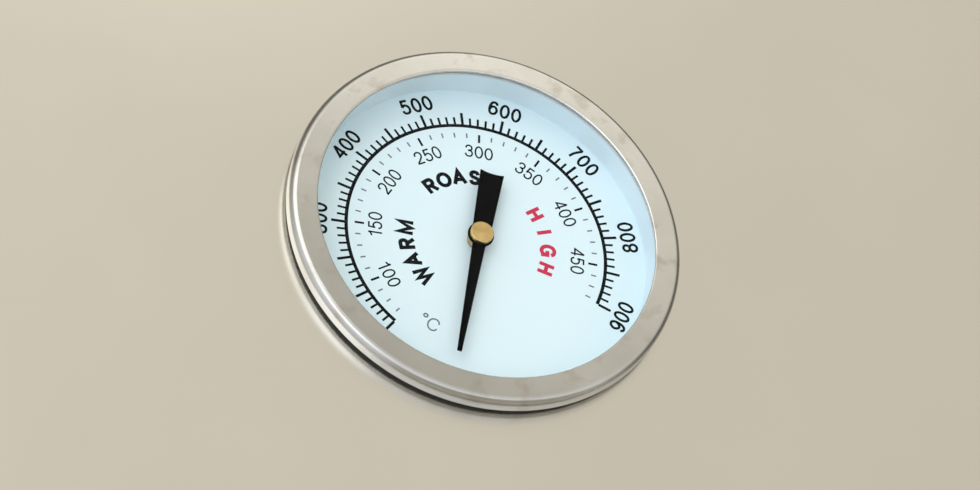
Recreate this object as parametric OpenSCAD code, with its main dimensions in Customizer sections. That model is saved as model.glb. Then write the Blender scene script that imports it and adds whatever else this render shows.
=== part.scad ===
// Dial thermometer for a grill hood.
// The dial faces -Y with twelve o'clock at +Z, and the probe stem runs back along +Y.
// The origin is the centre of the seat on the hood, so y = 0 is the hood's outer surface.
// All sizes are in millimetres.

/* [Hood] */
// Thickness of the hood sheet that is clamped at rest
panel_t = 2.2; // [2.1:0.1:6]
// Radial room between the case barrel and the round cut-out in the hood
cutout_gap = 0.5; // [0.3:0.1:1]
// Radial distance from the cut-out's edge to the clamp's legs
leg_inset = 0.6; // [0.3:0.1:1]

/* [Bezel] */
// Clear opening that shows the dial
opening_d = 69; // [60:0.1:90]
// Radial width of the bezel, from its opening to its outer wall
rim_w = 5.5; // [5:0.05:8]
// Thickness of the bezel's sheet
bezel_t = 0.5; // [0.4:0.05:0.8]
// Radius of the rounded outer front edge
bezel_corner_r = 1.6; // [1:0.1:2]
// Radius of the bend at the foot of the bezel
crimp_corner_r = 0.7; // [0.55:0.05:0.9]
// How far the rolled foot reaches under the case flange
crimp_w = 1.2; // [0.8:0.1:1.4]

/* [Lens and gaskets] */
// Thickness of the glass
lens_t = 2; // [1.5:0.1:4]
// Radial room between the glass and the bend of the bezel
lens_gap = 0.2; // [0.1:0.05:0.4]
// Small bevel on the ground edge of the glass
lens_bevel = 0.2; // [0.1:0.05:0.4]
// Thickness of the ring that seals the glass on the case
lens_gasket_t = 0.5; // [0.3:0.1:1.5]
// Thickness of the ring between bezel and hood
panel_gasket_t = 1; // [0.6:0.1:3]
// How far the hood gasket's edge stands back from the bezel's wall
gasket_inset = 0.6; // [0.3:0.1:1]

/* [Case] */
// Thickness of the drawn case
case_t = 0.5; // [0.4:0.05:0.7]
// How far the dial's face lies behind the hood's surface
dial_depth = 3.8; // [2:0.1:12]
// Depth of the well behind the dial
well_depth = 5.7; // [5:0.1:20]
// Width of the ledge that carries the dial
ledge_w = 5.6; // [2:0.1:12]
// Radius of the drawn corner at the back of the well
well_corner_r = 2; // [1:0.1:4]
// Thickness of the white wall between dial and lens
retainer_t = 0.5; // [0.3:0.1:0.7]
// How far that wall stands back from the bezel's opening
retainer_inset = 0.55; // [0.1:0.05:0.7]

/* [Dial and pointer] */
// Thickness of the dial sheet
dial_t = 0.5; // [0.3:0.1:1]
// Hole in the middle of the dial
dial_hole_d = 4; // [3:0.1:8]
// Direction of the pointer at rest, clockwise from twelve o'clock
pointer_angle = -156; // [-160:1:126]
// Height of the pointer's underside above the dial
pointer_lift = 2.35; // [1.5:0.05:2.6]
// Thickness of the pointer sheet
pointer_t = 0.4; // [0.2:0.1:0.6]
// Distance from the spindle to the needle's tip
needle_reach = 27.3; // [15:0.1:29]
// Width of the needle beside the hub
needle_root_w = 2.8; // [1.5:0.1:4]
// Width of the needle's blunt tip
needle_tip_w = 0.9; // [0.4:0.1:1.4]
// Distance from the spindle to the end of the tail
tail_reach = 15; // [8:0.1:28]
// Width of the tail beside the hub
tail_root_w = 3.7; // [2:0.1:5]
// Width of the tail's flared end
tail_end_w = 4.9; // [2:0.1:8]
// Depth of the hollow in the tail's end
tail_hollow = 0.35; // [0.1:0.05:0.6]
// Diameter of the round hub in the pointer
pointer_hub_d = 5.3; // [5:0.1:8]
// Diameter of the brass button
cap_d = 4.7; // [3:0.1:7]
// Height of the brass button
cap_h = 0.95; // [0.7:0.05:1.4]
// Diameter of the bush under the pointer
bush_d = 4.3; // [3:0.1:6]
// Gap between that bush and the dial
bush_gap = 0.4; // [0.2:0.05:1]

/* [Spindle and bearings] */
// Diameter of the spindle
spindle_d = 1.6; // [1:0.1:2]
// Radial running clearance of the spindle in its bearings
run_gap = 0.05; // [0.02:0.01:0.1]
// Radial gap of parts that are pressed or soldered together
fit_gap = 0.02; // [0.01:0.01:0.04]
// How deep the spindle enters the brass button
cap_bore_depth = 0.5; // [0.3:0.05:0.6]
// Thickness of the front bearing's flange
bearing_flange_t = 0.8; // [0.5:0.1:1.2]
// Diameter of the front bearing's flange
bearing_flange_d = 8; // [6.5:0.1:12]
// Length of the front bearing inside the stem
bearing_len = 3; // [1.5:0.1:8]
// Length of the guide half way down the stem
guide_len = 3; // [1.5:0.1:6]

/* [Stem] */
// Outer diameter of the probe stem
stem_d = 6; // [5:0.1:7]
// Wall of the probe stem
stem_t = 0.5; // [0.3:0.05:0.7]
// How far the stem's radius is drawn down where it sits in the fitting
stem_draw = 0.2; // [0.16:0.01:0.28]
// Bare stem past the end of the thread
stem_free = 30; // [20:1:150]
// Length of the end plug's spigot inside the stem
plug_len = 3; // [1.5:0.1:8]

/* [Bimetal] */
// Turns of the bimetal strip
coil_turns = 16; // [4:1:24]
// Rise of the strip in each turn
coil_pitch = 1.4; // [1.35:0.05:2]
// Width of the strip along the stem
strip_w = 0.9; // [0.5:0.05:0.95]
// Thickness of the strip
strip_t = 0.25; // [0.15:0.05:0.4]
// Radial room between the strip and the stem
coil_room = 0.4; // [0.2:0.05:0.8]
// Room at each end of the strip
coil_end_gap = 0.15; // [0.1:0.05:0.3]
// Length of the collar that ties spindle and strip
collar_len = 2.5; // [1.5:0.1:5]
// Room between the guide and the collar
collar_gap = 0.5; // [0.2:0.1:2]

/* [Stem fitting] */
// Outer diameter of the thread
thread_d = 10; // [9:0.5:16]
// Rise of the thread in one turn
thread_pitch = 1.5; // [1:0.25:2]
// Length of the thread behind the case
thread_len = 32; // [28:1:60]
// Diameter of the fitting's flange inside the case
fitting_flange_d = 24; // [18:0.5:34]
// Thickness of that flange
fitting_flange_t = 1.6; // [1:0.1:2.4]
// Thickness of the ring that seals the fitting on the case
fitting_seal_t = 0.6; // [0.4:0.1:1]
// Width across the flats of the jam nut
jam_nut_af = 17; // [15:0.5:24]
// Height of the jam nut
jam_nut_h = 4; // [3:0.5:8]

/* [Clamp] */
// Thickness of the clamp's strip
bracket_t = 1.5; // [1:0.1:2]
// Width of the clamp's strip
bracket_w = 19; // [14:0.5:30]
// Outer radius of the clamp's two bends
bracket_bend_r = 3; // [2.2:0.1:5]
// Room between the jam nut and the clamp's bridge at rest
bridge_room = 2.2; // [1:0.1:10]
// Radial room of the thread in the clamp and the washers
thread_room = 0.35; // [0.2:0.05:0.6]
// Diameter of the flat washer
washer_d = 20; // [18:0.5:28]
// Thickness of the flat washer
washer_t = 2; // [1:0.1:3]
// Diameter of the split washer
split_washer_d = 18; // [16:0.5:24]
// Thickness of the split washer
split_washer_t = 2.2; // [1.5:0.1:3]
// Width of the split in that washer
split_w = 1.2; // [0.6:0.1:2]

/* [Wing nut] */
// Diameter of the hub where it meets the washer
nut_base_d = 17.4; // [16:0.2:24]
// Diameter of the hub at its back
nut_top_d = 14.5; // [13:0.5:22]
// Height of the hub
nut_h = 8.5; // [6:0.5:14]
// Tip to tip span of the wings
wing_span = 44; // [36:1:60]
// Height of the wings above the washer
wing_h = 18; // [15:0.5:26]
// Radius of the wings' round tips
wing_tip_r = 5.5; // [4:0.1:7]
// Thickness of the wings
wing_t = 3; // [2:0.1:5]
// Direction of the wings at rest
wing_angle = 35; // [0:5:175]

/* [Hidden] */
$fn = 96;
eps = 0.01;

// Radii, from the opening outwards
opening_r = opening_d / 2;
bezel_r = opening_r + rim_w;
lens_r = bezel_r - bezel_corner_r - lens_gap;
crimp_r = lens_r - crimp_w;
retainer_in_r = opening_r + retainer_inset;
retainer_r = retainer_in_r + retainer_t;
barrel_in_r = retainer_r + fit_gap;
barrel_r = barrel_in_r + case_t;
dial_r = barrel_in_r - fit_gap;
well_r = barrel_in_r - ledge_w;
leg_x = barrel_r + cutout_gap + leg_inset;

// Depths along Y, from the hood's surface to the front
crimp_back = -panel_gasket_t;
flange_back = crimp_back - bezel_t;
flange_front = flange_back - case_t;
lens_back = flange_front - lens_gasket_t;
lens_front = lens_back - lens_t;
bezel_front = lens_front - bezel_t;

// Depths along Y, from the hood's surface to the back
dial_back = dial_depth + dial_t;
case_back = dial_back + well_depth;
seal_back = case_back - case_t;
fitting_flange_back = seal_back - fitting_seal_t;
fitting_front = fitting_flange_back - fitting_flange_t;
thread_end = case_back + thread_len;
stem_end = thread_end + stem_free;
jam_nut_back = case_back + jam_nut_h;
bridge_front = jam_nut_back + bridge_room;
bridge_back = bridge_front + bracket_t;
washer_back = bridge_back + washer_t;
split_washer_back = washer_back + split_washer_t;

// Pointer, measured from the dial towards the glass
pointer_back = dial_depth - pointer_lift;
pointer_front = pointer_back - pointer_t;
cap_front = pointer_front - cap_h;
bush_back = dial_depth - bush_gap;
hollow_r = (pow(tail_end_w / 2, 2) + pow(tail_hollow, 2)) / (2 * tail_hollow);

// Spindle, stem and bimetal strip
spindle_r = spindle_d / 2;
stem_r = stem_d / 2;
stem_in_r = stem_r - stem_t;
stem_seat_r = stem_r - stem_draw;
thread_r = thread_d / 2;
thread_depth = 0.6 * thread_pitch;
plug_front = stem_end - plug_len;
coil_r = stem_in_r - coil_room - strip_t / 2;
coil_len = coil_turns * coil_pitch + strip_w;
coil_back = plug_front - coil_end_gap;
coil_front = coil_back - coil_len;
collar_back = coil_front - coil_end_gap;
collar_front = collar_back - collar_len;
guide_back = collar_front - collar_gap;
rings_per_turn = 12;
coil_rings = coil_turns * rings_per_turn;

// The strip's turns lie one pitch apart, so their gap is what the pitch leaves.
coil_gap = min([for (i = [0 : coil_rings - rings_per_turn])
    strip_at(i + rings_per_turn)[0][2] - strip_at(i)[3][2]]);
echo(str("Least gap between the turns of the bimetal strip: ", coil_gap, " mm"));

// Stands a shape that is drawn along Z on the dial's axis, so that its Z is the depth.
module on_axis(depth = 0) {
    translate([0, depth, 0])
        rotate([-90, 0, 0])
            children();
}

// A ring or tube on the dial's axis.
module ring(outer_r, inner_r, front, back) {
    on_axis(front)
        difference() {
            cylinder(h = back - front, r = outer_r);
            translate([0, 0, -eps])
                cylinder(h = back - front + 2 * eps, r = inner_r);
        }
}

// Half section of a solid of revolution from front to back, with its rear outer corner rounded.
module round_back(r, front, back, corner_r) {
    translate([0, front])
        square([r - corner_r, back - front]);
    translate([0, front])
        square([r, back - front - corner_r]);
    translate([r - corner_r, back - corner_r])
        circle(r = corner_r);
}

// Half section of a solid of revolution with both outer corners rounded.
module round_both(r, front, back, front_r, back_r) {
    translate([0, front + front_r])
        square([r, back - front - front_r - back_r]);
    translate([0, front])
        square([r - front_r, front_r]);
    translate([0, back - back_r])
        square([r - back_r, back_r]);
    translate([r - front_r, front + front_r])
        circle(r = front_r);
    translate([r - back_r, back - back_r])
        circle(r = back_r);
}

// Drawn ring: flat face, round outer edge, straight wall, foot rolled in behind the case flange.
module bezel_ring() {
    lip_r = bezel_t / 2;
    color("silver")
        on_axis()
            rotate_extrude() {
                difference() {
                    round_both(bezel_r, bezel_front, crimp_back, bezel_corner_r, crimp_corner_r);
                    round_both(bezel_r - bezel_t, lens_front, flange_back,
                        bezel_corner_r - bezel_t, crimp_corner_r - bezel_t);
                    translate([0, bezel_front - eps])
                        square([opening_r + lip_r, bezel_t + 2 * eps]);
                    translate([0, flange_back - eps])
                        square([crimp_r, bezel_t + 2 * eps]);
                }
                translate([opening_r + lip_r, bezel_front + lip_r])
                    circle(r = lip_r);
            }
}

// Flat glass with its ground edge bevelled.
module glass_lens() {
    color("lightcyan", 0.35)
        on_axis()
            rotate_extrude()
                polygon([
                    [0, lens_front],
                    [lens_r - lens_bevel, lens_front],
                    [lens_r, lens_front + lens_bevel],
                    [lens_r, lens_back - lens_bevel],
                    [lens_r - lens_bevel, lens_back],
                    [0, lens_back]
                ]);
}

module lens_gasket() {
    color("dimgray")
        ring(lens_r, retainer_in_r, lens_back, flange_front);
}

// Drawn cup: flange under the lens, barrel through the hood, ledge for the dial, well behind it.
module case_cup() {
    color("silver")
        on_axis()
            difference() {
                rotate_extrude() {
                    translate([0, flange_front])
                        square([lens_r, case_t]);
                    round_back(barrel_r, flange_front, dial_back + case_t, 2 * case_t);
                    round_back(well_r + case_t, flange_front, case_back, well_corner_r);
                }
                rotate_extrude() {
                    translate([0, flange_front - eps])
                        square([barrel_in_r, dial_back - flange_front + eps]);
                    round_back(well_r, flange_front, seal_back, well_corner_r - case_t);
                }
                translate([0, 0, seal_back - eps])
                    cylinder(h = case_t + 2 * eps, r = thread_r + fit_gap);
            }
}

module panel_gasket() {
    color("black")
        ring(bezel_r - gasket_inset, barrel_r + cutout_gap, crimp_back, 0);
}

module dial_plate() {
    color("azure")
        ring(dial_r, dial_hole_d / 2, dial_depth, dial_back);
}

module dial_retainer() {
    color("white")
        ring(retainer_r, retainer_in_r, flange_front, dial_depth);
}

// Flat needle with a round hub and a flared tail that is slightly hollow at its end.
module pointer() {
    color("black")
        on_axis(pointer_front)
            rotate([0, 0, pointer_angle])
                linear_extrude(height = pointer_t)
                    difference() {
                        union() {
                            circle(d = pointer_hub_d);
                            polygon([
                                [-needle_root_w / 2, 0],
                                [-needle_tip_w / 2, -needle_reach],
                                [needle_tip_w / 2, -needle_reach],
                                [needle_root_w / 2, 0]
                            ]);
                            polygon([
                                [-tail_root_w / 2, 0],
                                [tail_root_w / 2, 0],
                                [tail_end_w / 2, tail_reach],
                                [-tail_end_w / 2, tail_reach]
                            ]);
                        }
                        translate([0, tail_reach - tail_hollow + hollow_r])
                            circle(r = hollow_r);
                        circle(r = spindle_r + fit_gap);
                    }
}

// Button with a blind hole for the spindle and a small bevel round its face.
module pointer_cap() {
    bevel = 0.2 * cap_h;
    color("darkgoldenrod")
        on_axis()
            difference() {
                rotate_extrude()
                    polygon([
                        [0, cap_front],
                        [cap_d / 2 - bevel, cap_front],
                        [cap_d / 2, cap_front + bevel],
                        [cap_d / 2, pointer_front],
                        [0, pointer_front]
                    ]);
                translate([0, 0, pointer_front - cap_bore_depth])
                    cylinder(h = cap_bore_depth + eps, r = spindle_r + fit_gap);
            }
}

module pointer_bush() {
    color("darkgoldenrod")
        ring(bush_d / 2, spindle_r + fit_gap, pointer_back, bush_back);
}

// Plain round rod from the blind hole in the button to the end of the collar.
module spindle() {
    front = pointer_front - cap_bore_depth + fit_gap;
    color("silver")
        on_axis(front)
            cylinder(h = collar_back - front, r = spindle_r);
}

module coil_collar() {
    color("darkgoldenrod")
        ring(coil_r, spindle_r + fit_gap, collar_front, collar_back);
}

// Flanged bush in the front end of the stem.
module front_bearing() {
    color("darkgoldenrod")
        on_axis(fitting_front - bearing_flange_t)
            difference() {
                union() {
                    cylinder(h = bearing_flange_t, d = bearing_flange_d);
                    cylinder(h = bearing_flange_t + bearing_len, r = stem_in_r - fit_gap);
                }
                translate([0, 0, -eps])
                    cylinder(h = bearing_flange_t + bearing_len + 2 * eps, r = spindle_r + run_gap);
            }
}

module stem_guide() {
    color("darkgoldenrod")
        ring(stem_in_r - fit_gap, spindle_r + run_gap, guide_back - guide_len, guide_back);
}

// The four corners of the strip's section at step i along its helix.
function strip_at(i) =
    let(a = 360 * i / rings_per_turn)
    let(z = coil_front + coil_pitch * i / rings_per_turn)
    let(r_in = coil_r - strip_t / 2)
    let(r_out = coil_r + strip_t / 2)
    [
        [r_in * cos(a), r_in * sin(a), z],
        [r_out * cos(a), r_out * sin(a), z],
        [r_out * cos(a), r_out * sin(a), z + strip_w],
        [r_in * cos(a), r_in * sin(a), z + strip_w]
    ];

// Two triangles that close one side of the strip between step i and the next.
function strip_side(i, k) =
    let(a = 4 * i + k)
    let(b = 4 * i + (k + 1) % 4)
    [[a, b, a + 4], [b, b + 4, a + 4]];

// Helical strip, one unbroken ribbon from the collar to the end plug.
module bimetal_coil() {
    points = [for (i = [0 : coil_rings]) each strip_at(i)];
    last = 4 * coil_rings;
    faces = concat(
        [[0, 2, 1], [0, 3, 2]],
        [for (i = [0 : coil_rings - 1]) for (k = [0 : 3]) each strip_side(i, k)],
        [[last, last + 1, last + 2], [last, last + 2, last + 3]]
    );
    color("peru")
        on_axis()
            polyhedron(points = points, faces = [for (f = faces) [f[2], f[1], f[0]]]);
}

// Thin tube, drawn down a little where it is soldered into the fitting.
module stem_tube() {
    color("silver") {
        ring(stem_seat_r, stem_in_r, fitting_front, thread_end + eps);
        ring(stem_r, stem_in_r, thread_end, stem_end);
    }
}

// Spigot inside the stem and a domed end that carries on the stem's outside.
module stem_plug() {
    color("silver")
        on_axis()
            rotate_extrude() {
                translate([0, plug_front])
                    square([stem_in_r - fit_gap, plug_len + eps]);
                intersection() {
                    translate([0, stem_end])
                        circle(r = stem_r);
                    translate([0, stem_end])
                        square([stem_r, stem_r]);
                }
            }
}

// Flange inside the case and a threaded shank behind it. The thread is drawn as even rings.
module stem_fitting() {
    root_r = thread_r - thread_depth;
    turns = floor(thread_len / thread_pitch);
    thread_front = thread_end - turns * thread_pitch;
    color("gainsboro")
        on_axis()
            difference() {
                union() {
                    translate([0, 0, fitting_front])
                        cylinder(h = fitting_flange_t, d = fitting_flange_d);
                    rotate_extrude()
                        polygon(concat(
                            [[0, fitting_front], [thread_r, fitting_front]],
                            [for (i = [0 : turns - 1]) each [
                                [thread_r, thread_front + thread_pitch * i],
                                [root_r, thread_front + thread_pitch * (i + 0.45)],
                                [root_r, thread_front + thread_pitch * (i + 0.55)],
                                [thread_r, thread_front + thread_pitch * (i + 0.95)]
                            ]],
                            [[root_r, thread_end], [0, thread_end]]
                        ));
                }
                translate([0, 0, fitting_front - eps])
                    cylinder(h = thread_end - fitting_front + 2 * eps, r = stem_seat_r + fit_gap);
            }
}

module fitting_seal() {
    color("ivory")
        ring(fitting_flange_d / 2, thread_r + fit_gap, fitting_flange_back, seal_back);
}

// Thin hexagon nut on the back of the case.
module jam_nut() {
    color("gainsboro")
        on_axis(case_back)
            difference() {
                cylinder(h = jam_nut_h, d = jam_nut_af / cos(30), $fn = 6);
                translate([0, 0, -eps])
                    cylinder(h = jam_nut_h + 2 * eps, r = thread_r + fit_gap);
            }
}

// Half outline of the clamp's section: a bridge with a round bend, seen along the strip's width.
module bridge_section(half_w, back, bend_r) {
    translate([-half_w, panel_t])
        square([2 * half_w, back - panel_t - bend_r]);
    translate([-half_w + bend_r, back - bend_r - eps])
        square([2 * (half_w - bend_r), bend_r + eps]);
    for (side = [-1, 1])
        translate([side * (half_w - bend_r), back - bend_r])
            circle(r = bend_r);
}

// U-shaped strip: two legs on the hood's inside, a bridge across the stem.
module clamp_bracket() {
    color("lightgray")
        difference() {
            translate([0, 0, -bracket_w / 2])
                linear_extrude(height = bracket_w)
                    difference() {
                        bridge_section(leg_x + bracket_t, bridge_back, bracket_bend_r);
                        translate([0, -eps])
                            bridge_section(leg_x, bridge_front + eps, bracket_bend_r - bracket_t);
                    }
            on_axis(bridge_front - eps)
                cylinder(h = bracket_t + 2 * eps, r = thread_r + thread_room);
        }
}

module flat_washer() {
    color("lightgray")
        ring(washer_d / 2, thread_r + thread_room, bridge_back, washer_back);
}

// Lock washer, squeezed flat, with its slanted split.
module spring_washer() {
    color("gray")
        difference() {
            ring(split_washer_d / 2, thread_r + thread_room, washer_back, split_washer_back);
            translate([0, washer_back, split_washer_d / 2])
                rotate([0, 30, 0])
                    cube([split_w, 4 * split_washer_t, split_washer_d], center = true);
        }
}

// One wing, drawn from the hub's side to its round tip, with y as the height above the washer.
module wing_outline() {
    tip = [wing_span / 2 - wing_tip_r, wing_h - wing_tip_r];
    root_x = nut_top_d / 2 - wing_t / 2;
    translate(tip)
        circle(r = wing_tip_r);
    polygon([
        [root_x, 0.1 * nut_h],
        [nut_base_d / 2, 0.1 * nut_h],
        tip + wing_tip_r * [cos(-40), sin(-40)],
        tip + wing_tip_r * [cos(140), sin(140)],
        [root_x, 0.9 * nut_h]
    ]);
}

module wing_nut() {
    color("gainsboro")
        on_axis(split_washer_back)
            difference() {
                union() {
                    cylinder(h = nut_h, d1 = nut_base_d, d2 = nut_top_d);
                    for (turn = [0, 180])
                        rotate([0, 0, wing_angle + turn])
                            rotate([90, 0, 0])
                                translate([0, 0, -wing_t / 2])
                                    linear_extrude(height = wing_t)
                                        wing_outline();
                }
                translate([0, 0, -eps])
                    cylinder(h = nut_h + 2 * eps, r = thread_r + run_gap);
            }
}

bezel_ring();
glass_lens();
lens_gasket();
case_cup();
panel_gasket();
dial_plate();
dial_retainer();
pointer();
pointer_cap();
pointer_bush();
spindle();
coil_collar();
front_bearing();
stem_guide();
bimetal_coil();
stem_tube();
stem_plug();
stem_fitting();
fitting_seal();
jam_nut();
clamp_bracket();
flat_washer();
spring_washer();
wing_nut();
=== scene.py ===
"""Dial thermometer for a grill hood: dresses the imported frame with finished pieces, a stage and a camera."""

from math import atan2, cos, hypot, pi, radians, sin, sqrt

import bmesh
import bpy
from bpy.props import FloatProperty, FloatVectorProperty, PointerProperty, StringProperty
from mathutils import Matrix, Vector


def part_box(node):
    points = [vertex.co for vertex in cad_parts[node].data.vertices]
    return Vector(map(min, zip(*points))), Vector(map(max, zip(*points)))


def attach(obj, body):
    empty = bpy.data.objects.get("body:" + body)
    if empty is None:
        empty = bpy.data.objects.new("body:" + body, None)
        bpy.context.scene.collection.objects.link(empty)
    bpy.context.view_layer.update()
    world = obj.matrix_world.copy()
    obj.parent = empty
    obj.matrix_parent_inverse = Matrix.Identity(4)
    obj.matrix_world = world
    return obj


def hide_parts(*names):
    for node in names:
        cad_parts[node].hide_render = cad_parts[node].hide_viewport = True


bl_info = {
    "name": "Grill hood thermometer",
    "version": (1, 0, 0),
    "blender": (4, 5, 0),
    "location": "View3D > Sidebar > Gauge",
    "description": "Builds a dial thermometer for a grill hood around its packed frame",
    "category": "Object",
}

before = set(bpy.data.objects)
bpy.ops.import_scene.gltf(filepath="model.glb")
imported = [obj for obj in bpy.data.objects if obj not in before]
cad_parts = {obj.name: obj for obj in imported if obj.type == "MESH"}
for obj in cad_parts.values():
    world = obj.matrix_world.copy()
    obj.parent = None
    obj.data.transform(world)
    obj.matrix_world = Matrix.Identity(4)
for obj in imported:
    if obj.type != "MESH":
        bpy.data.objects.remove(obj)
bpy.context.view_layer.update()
MM = 0.001
# Two lengths that differ by less than this count as the same, in metres.
TINY = 1e-6

# Scale of the dial: Fahrenheit runs evenly round the arc, and 525 stands at twelve o'clock.
DEGREES_PER_FAHRENHEIT = 0.33837
TOP_FAHRENHEIT = 525.0
FIRST_FAHRENHEIT = 150
LAST_FAHRENHEIT = 900
FIRST_CELSIUS = 70
LAST_CELSIUS = 480
# Degrees from tick to tick and from long tick to long tick, and the values that are printed as numbers.
TICK_STEP, LONG_STEP = 10, 50
FAHRENHEIT_NUMBERS = range(200, LAST_FAHRENHEIT + 1, 100)
CELSIUS_NUMBERS = range(100, LAST_CELSIUS, 50)
# Numbers that are printed with their tops towards the middle of the dial.
TURNED_FAHRENHEIT = (200, 800, 900)
TURNED_CELSIUS = (100,)
# Widths of the ticks and ends of the inner ticks, in parts of the arc's radius.
LONG_WIDTH, SHORT_WIDTH, FINE_WIDTH = 0.021, 0.017, 0.011
INNER_TOP, INNER_LONG_FOOT, INNER_SHORT_FOOT = 0.935, 0.865, 0.895
# Weights of the strokes and the step from letter to letter, in parts of a letter's height.
NUMBER_WEIGHT, INNER_WEIGHT, SIGN_WEIGHT, WORD_WEIGHT = 0.155, 0.115, 0.10, 0.23
LETTER_STEP = 0.715
# The two signs with the radius of each, and their turn and height.
SIGNS = (("°C", 0.836), ("°F", 1.17))
SIGN_TURN, SIGN_HEIGHT = radians(-139), 0.112
# Where each zone word starts and ends, in degrees from twelve o'clock.
WORD_ARCS = ((-117, -73), (-26, 26), (70, 120))
# Straight pieces in the arc, and between two points of a curved stroke.
ARC_STEPS, CURVE_STEPS = 180, 5
# A corner of a stroke reaches no further than half the stroke's width divided by this.
MITRE_LIMIT = 0.35
# Each stroke of a letter stands higher than the last by this part of the ink film, so that no faces share a
# plane where strokes cross.
STROKE_RISE = 0.05

# Plain stroke letters. Each has its width in hundredths of its height, and then its strokes, which are the
# middle of the pen's line. Their points x,y are in hundredths of the letter's box. "line" joins them with
# straight lines, "bend" runs a smooth curve through them, and "oval" fills the box between two corners.
OVAL = ((0.5, 0.0), (0.16, 0.13), (0.0, 0.5), (0.16, 0.87),
        (0.5, 1.0), (0.84, 0.87), (1.0, 0.5), (0.84, 0.13))
LETTERS = {
    "0": (62, "oval 0,0 100,100"),
    "1": (40, "bend 0,77 45,81 84,91 100,102", "line 100,104 100,-6"),
    "2": (60, "bend 0,70 10,90 46,100 86,91 97,70 82,48 42,25 12,10 0,-3", "line -5,0 104,0"),
    "3": (60, "bend 4,75 16,93 48,100 82,92 92,75 80,59 36,53",
          "bend 36,53 82,49 100,27 84,6 48,0 14,7 0,25"),
    "4": (64, "line 76,104 2,27 105,27", "line 76,104 76,-6"),
    "5": (60, "line 95,100 17,100 8,50", "bend 6,50 25,61 52,65 85,55 100,33 86,8 48,0 14,6 0,24"),
    "6": (61, "bend 95,80 82,95 56,100 27,93 7,72 0,42 6,18 24,3 50,0 80,7 100,31 84,55 54,63 24,56 2,34"),
    "7": (60, "line -4,100 106,100", "bend 100,100 66,64 44,30 35,-6"),
    "8": (61, "oval 7,53 93,100", "oval 0,0 100,53"),
    "9": (61, "bend 5,20 18,5 44,0 73,7 93,28 100,58 94,82 76,97 50,100 20,93 0,69 16,45 46,37 76,44 98,66"),
    "A": (86, "line -3,-6 50,102 103,-6", "line 16,30 84,30"),
    "C": (80, "bend 98,72 86,91 52,100 16,86 0,50 16,14 52,0 86,9 100,30"),
    "F": (60, "line 0,-6 0,100 100,100", "line 0,52 86,52"),
    "G": (84, "bend 95,72 84,91 50,100 15,86 0,50 15,14 50,0 84,12 97,42", "line 97,-6 97,45 52,45"),
    "H": (74, "line 0,-8 0,108", "line 100,-8 100,108", "line 0,52 100,52"),
    "I": (20, "line 50,-8 50,108"),
    "M": (92, "line 0,-8 0,100 50,5 100,100 100,-8"),
    "O": (92, "oval 0,0 100,100"),
    "R": (72, "line 0,-8 0,100 60,100", "line 0,48 60,48", "bend 55,100 86,94 97,74 86,54 55,48",
          "line 52,48 102,-8"),
    "S": (70, "bend 93,76 80,94 48,100 17,93 6,75 18,59 50,51 84,42 97,24 83,6 48,0 14,6 0,26"),
    "T": (72, "line -8,100 108,100", "line 50,100 50,-8"),
    "W": (112, "line -1,106 25,0 50,96 75,0 101,106"),
    "°": (36, "oval 0,72 100,100"),
}


def linear(hex_code):
    """An sRGB hex colour as linear red, green and blue, with an alpha of 1."""
    parts = [int(hex_code[i:i + 2], 16) / 255 for i in (1, 3, 5)]
    return [p / 12.92 if p <= 0.04045 else ((p + 0.055) / 1.055) ** 2.4 for p in parts] + [1.0]


def radii(node):
    """Least and greatest distance of a frame node's points from the dial's axis."""
    away = [hypot(v.co.x, v.co.z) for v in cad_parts[node].data.vertices]
    return min(away), max(away)


# Sizes that the frame already holds.
BEZEL_FRONT, BEZEL_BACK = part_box("bezel_ring")[0].y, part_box("bezel_ring")[1].y
OPENING_R, BEZEL_R = radii("bezel_ring")
DIAL_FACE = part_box("dial_plate")[0].y
POINTER_FRONT, POINTER_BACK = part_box("pointer")[0].y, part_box("pointer")[1].y
CAP_FRONT, CAP_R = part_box("pointer_cap")[0].y, radii("pointer_cap")[1]
FITTING_FRONT, THREAD_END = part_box("stem_fitting")[0].y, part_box("stem_fitting")[1].y
FITTING_BORE_R, FITTING_FLANGE_R = radii("stem_fitting")
CUTOUT_R = radii("panel_gasket")[0]

# Radius of the spindle's hole in the pointer and its button.
BORE_R = 0.82 * MM
# The thread's depth, half the flat at its root and the width of its flank, in parts of its pitch.
THREAD_DEPTH, ROOT_FLAT, FLANK = 0.6, 0.06, 0.36
ROWS_PER_TURN = 10
# Reach of the board and the floor from the middle, and the floor's depth below it, in metres.
BOARD_REACH, FLOOR_REACH, FLOOR_DEPTH = 0.9, 1.2, 1.1
# Each lamp's name, place, aim, width and height, in metres, then its watts and its colour.
LAMPS = (
    ("key_lamp", (-0.4, -0.95, 0.6), (0, 0, 0), (0.9, 0.7), 2.65, "#FFFCF6"),
    ("top_lamp", (0.52, -0.7, 1.0), (0, 0, 0), (0.8, 0.7), 0.7, "#FFFBF4"),
    ("rear_lamp", (0.95, 0.75, 0.6), (0, 0.03, 0), (0.7, 0.5), 4.0, "#FCFDFF"),
    ("rear_low_lamp", (-0.9, 0.5, 0.1), (0, 0.03, 0), (0.3, 0.8), 1.2, "#FCFDFF"),
)


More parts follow.
